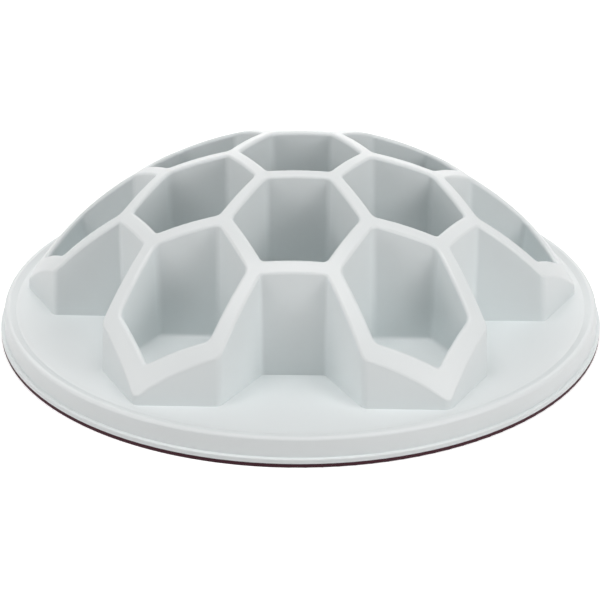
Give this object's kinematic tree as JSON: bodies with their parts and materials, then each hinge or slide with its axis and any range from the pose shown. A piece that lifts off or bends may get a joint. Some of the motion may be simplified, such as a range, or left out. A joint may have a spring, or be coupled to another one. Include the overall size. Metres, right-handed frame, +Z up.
{
  "type": "cat puzzle feeder",
  "caption": "Round slow-feeding plate with a honeycomb dome of hexagonal wells and open alcoves, and a soft non-slip ring under its rim.",
  "frame": {"origin": "on the table, under the middle of the plate", "axes": "+Z up; -Y towards the front, where an open alcove faces the cat; +X to the right"},
  "size_m": [0.3, 0.3, 0.087],
  "materials": {
    "pale_grey_plastic": "satin moulded",
    "plum_rubber": "matte"
  },
  "bodies": {
    "root": {"hive_body": "pale_grey_plastic", "non_slip_ring": "plum_rubber"}
  },
  "joints": []
}
